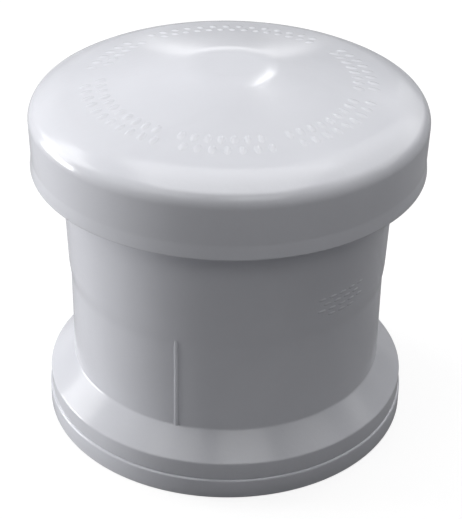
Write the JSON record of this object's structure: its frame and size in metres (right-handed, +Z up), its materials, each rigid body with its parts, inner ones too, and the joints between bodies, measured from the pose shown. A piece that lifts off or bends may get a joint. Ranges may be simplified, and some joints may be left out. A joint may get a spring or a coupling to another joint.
{
  "type": "two-way vent valve",
  "caption": "White two-way vent valve for the top of a drain stack: a round capped air chamber on a push-on pipe socket, with an inlet ring valve and a relief disc valve inside.",
  "frame": {"origin": "middle of the foot ring's underside, on which the valve stands", "axes": "+Z up along the axis of the pipe and of both valves, -Y towards the side that the picture shows"},
  "size_m": [0.144, 0.144, 0.1401],
  "materials": {
    "body_plastic": "moulded, glossy white",
    "inner_plastic": "moulded, satin off-white",
    "rubber": "moulded, matt black",
    "steel": "stainless, bright"
  },
  "bodies": {
    "housing": {"valve_body": "body_plastic", "foot_ring": "body_plastic", "pipe_seal": "rubber", "throat": "inner_plastic", "throat_o_ring": "rubber", "window_ring": "inner_plastic", "cover_gasket": "rubber", "chamber_cover": "inner_plastic", "cover_screws": "steel", "relief_cup": "inner_plastic", "relief_cage": "inner_plastic", "outer_cap": "body_plastic", "insect_grille": "inner_plastic"},
    "inlet_valve": {"inlet_carrier": "inner_plastic", "inlet_membrane": "rubber", "membrane_clamp": "inner_plastic", "clamp_rivets": "steel"},
    "relief_valve": {"relief_disc": "inner_plastic", "relief_seal": "rubber", "relief_washer": "steel", "relief_stem": "steel", "stem_clip": "steel"}
  },
  "joints": [
    {"name": "inlet_lift", "type": "slide", "parent": "housing", "child": "inlet_valve", "axis": [0, 0, 1], "range_m": [0, 0.0055]},
    {"name": "relief_lift", "type": "slide", "parent": "housing", "child": "relief_valve", "axis": [0, 0, 1], "range_m": [0, 0.0045]}
  ]
}
